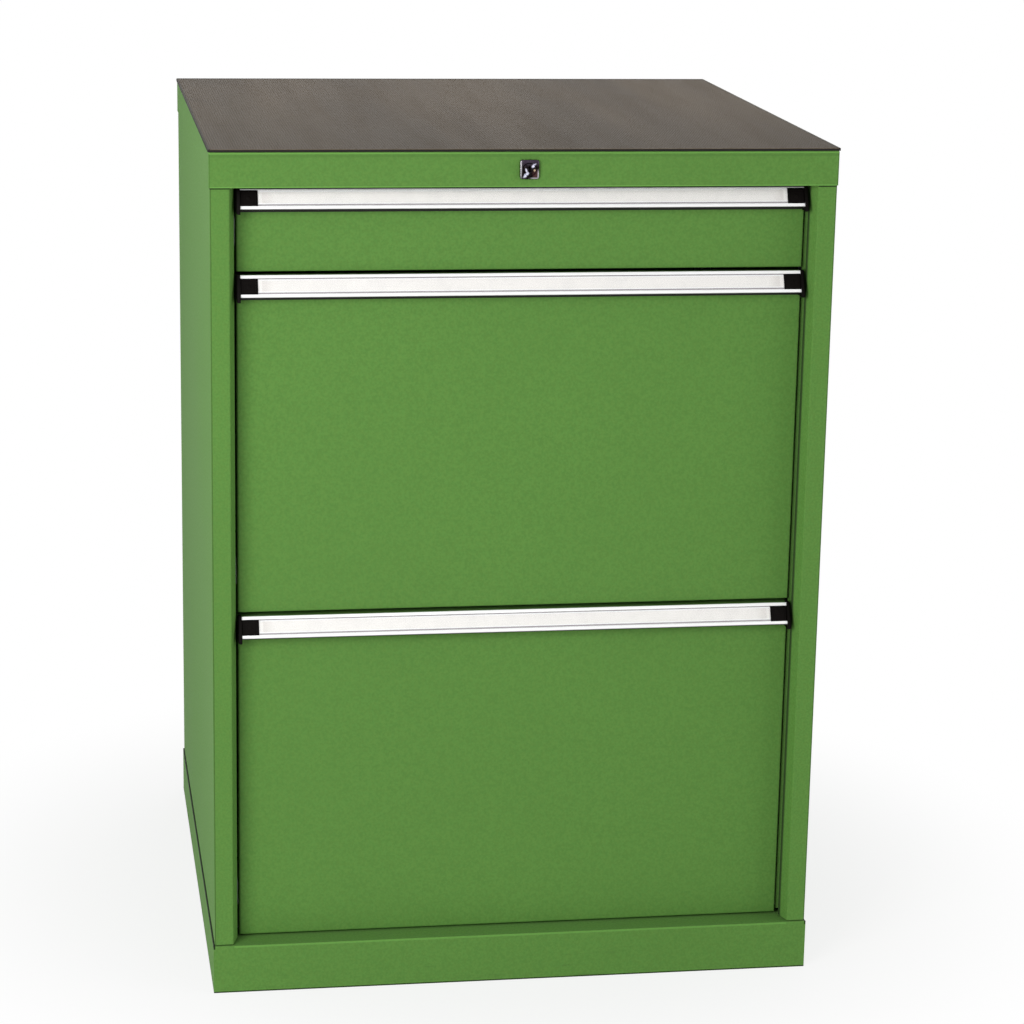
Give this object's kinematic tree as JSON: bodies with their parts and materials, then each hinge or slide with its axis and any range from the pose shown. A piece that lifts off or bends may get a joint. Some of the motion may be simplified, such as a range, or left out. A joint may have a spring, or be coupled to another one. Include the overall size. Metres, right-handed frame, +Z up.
{
  "type": "tool drawer cabinet",
  "caption": "Floor-standing steel workshop cabinet with a low drawer over tall tool drawers, full-width handle strips with labels, a central cylinder lock and a ribbed rubber top mat.",
  "frame": {"origin": "on the floor, under the middle of the cabinet", "axes": "+Z up, the drawers open towards -Y, +X to the right seen from the front"},
  "size_m": [0.721, 0.732, 1.003],
  "materials": {
    "cabinet_paint": "green powder coat, fine orange peel",
    "front_paint": "green powder coat, satin",
    "tray_paint": "grey powder coat",
    "zinc_steel": "zinc plated sheet",
    "rail_steel": "bright cold-rolled rails",
    "strip_aluminium": "natural anodised extrusion",
    "cap_plastic": "black moulded plastic, fine grain",
    "label_paper": "white card",
    "clear_cover": "clear strip",
    "mat_rubber": "ribbed grey-brown rubber",
    "lock_chrome": "polished nickel plate",
    "lock_steel": "plain steel",
    "socket_plastic": "black moulded plastic"
  },
  "bodies": {
    "housing": {"left_side_wall": "cabinet_paint", "right_side_wall": "cabinet_paint", "rear_panel": "cabinet_paint", "bottom_panel": "zinc_steel", "plinth_front": "cabinet_paint", "plinth_rear": "cabinet_paint", "plinth_left": "cabinet_paint", "plinth_right": "cabinet_paint", "top_cover": "cabinet_paint", "top_mat": "mat_rubber", "runner_uprights": "zinc_steel", "lock_bezel": "lock_chrome", "lock_nut": "lock_steel", "lock_bar_guides": "zinc_steel", "drawer_1_cabinet_rails": "rail_steel", "drawer_2_cabinet_rails": "rail_steel", "drawer_3_cabinet_rails": "rail_steel"},
    "lock_plug": {"lock_plug": "lock_chrome", "lock_cam": "lock_steel"},
    "lock_bar": {"lock_bar": "zinc_steel"},
    "locking_rail": {"locking_rail": "cabinet_paint"},
    "drawer_1": {"drawer_1_left_wall": "tray_paint", "drawer_1_right_wall": "tray_paint", "drawer_1_back_wall": "tray_paint", "drawer_1_floor": "tray_paint", "drawer_1_front": "front_paint", "drawer_1_handle": "strip_aluminium", "drawer_1_end_caps": "cap_plastic", "drawer_1_label": "label_paper", "drawer_1_label_cover": "clear_cover", "drawer_1_drawer_rails": "rail_steel"},
    "drawer_1_middle_rails": {"drawer_1_middle_rails": "rail_steel"},
    "drawer_2": {"drawer_2_left_wall": "tray_paint", "drawer_2_right_wall": "tray_paint", "drawer_2_back_wall": "tray_paint", "drawer_2_floor": "tray_paint", "drawer_2_front": "front_paint", "drawer_2_handle": "strip_aluminium", "drawer_2_end_caps": "cap_plastic", "drawer_2_label": "label_paper", "drawer_2_label_cover": "clear_cover", "drawer_2_drawer_rails": "rail_steel", "drawer_2_tool_carriers": "tray_paint", "drawer_2_tool_sockets": "socket_plastic"},
    "drawer_2_middle_rails": {"drawer_2_middle_rails": "rail_steel"},
    "drawer_3": {"drawer_3_left_wall": "tray_paint", "drawer_3_right_wall": "tray_paint", "drawer_3_back_wall": "tray_paint", "drawer_3_floor": "tray_paint", "drawer_3_front": "front_paint", "drawer_3_handle": "strip_aluminium", "drawer_3_end_caps": "cap_plastic", "drawer_3_label": "label_paper", "drawer_3_label_cover": "clear_cover", "drawer_3_drawer_rails": "rail_steel", "drawer_3_tool_carriers": "tray_paint", "drawer_3_tool_sockets": "socket_plastic"},
    "drawer_3_middle_rails": {"drawer_3_middle_rails": "rail_steel"}
  },
  "joints": [
    {"name": "drawer_1_slide", "type": "slide", "parent": "housing", "child": "drawer_1", "axis": [0, -1, 0], "range_m": [0, 0.612]},
    {"name": "drawer_1_middle_rails_slide", "type": "slide", "parent": "housing", "child": "drawer_1_middle_rails", "axis": [0, -1, 0], "range_m": [0, 0.306]},
    {"name": "drawer_2_slide", "type": "slide", "parent": "housing", "child": "drawer_2", "axis": [0, -1, 0], "range_m": [0, 0.612]},
    {"name": "drawer_2_middle_rails_slide", "type": "slide", "parent": "housing", "child": "drawer_2_middle_rails", "axis": [0, -1, 0], "range_m": [0, 0.306]},
    {"name": "drawer_3_slide", "type": "slide", "parent": "housing", "child": "drawer_3", "axis": [0, -1, 0], "range_m": [0, 0.612]},
    {"name": "drawer_3_middle_rails_slide", "type": "slide", "parent": "housing", "child": "drawer_3_middle_rails", "axis": [0, -1, 0], "range_m": [0, 0.306]},
    {"name": "lock_turn", "type": "hinge", "parent": "housing", "child": "lock_plug", "pos_m": [0, -0.35, 0.98], "axis": [0, 1, 0], "range_deg": [0, 90]},
    {"name": "lock_bar_slide", "type": "slide", "parent": "housing", "child": "lock_bar", "axis": [1, 0, 0], "range_m": [0, 0.01555]},
    {"name": "locking_rail_slide", "type": "slide", "parent": "housing", "child": "locking_rail", "axis": [0, 0, 1], "range_m": [0, 0.01555]}
  ],
  "couplings": [
    {"joint": "drawer_1_middle_rails_slide", "follows": "drawer_1_slide", "ratio": 0.5},
    {"joint": "drawer_2_middle_rails_slide", "follows": "drawer_2_slide", "ratio": 0.5},
    {"joint": "drawer_3_middle_rails_slide", "follows": "drawer_3_slide", "ratio": 0.5},
    {"joint": "lock_turn", "follows": "locking_rail_slide", "rad_per_m": 100.98},
    {"joint": "lock_bar_slide", "follows": "locking_rail_slide", "ratio": 1}
  ]
}
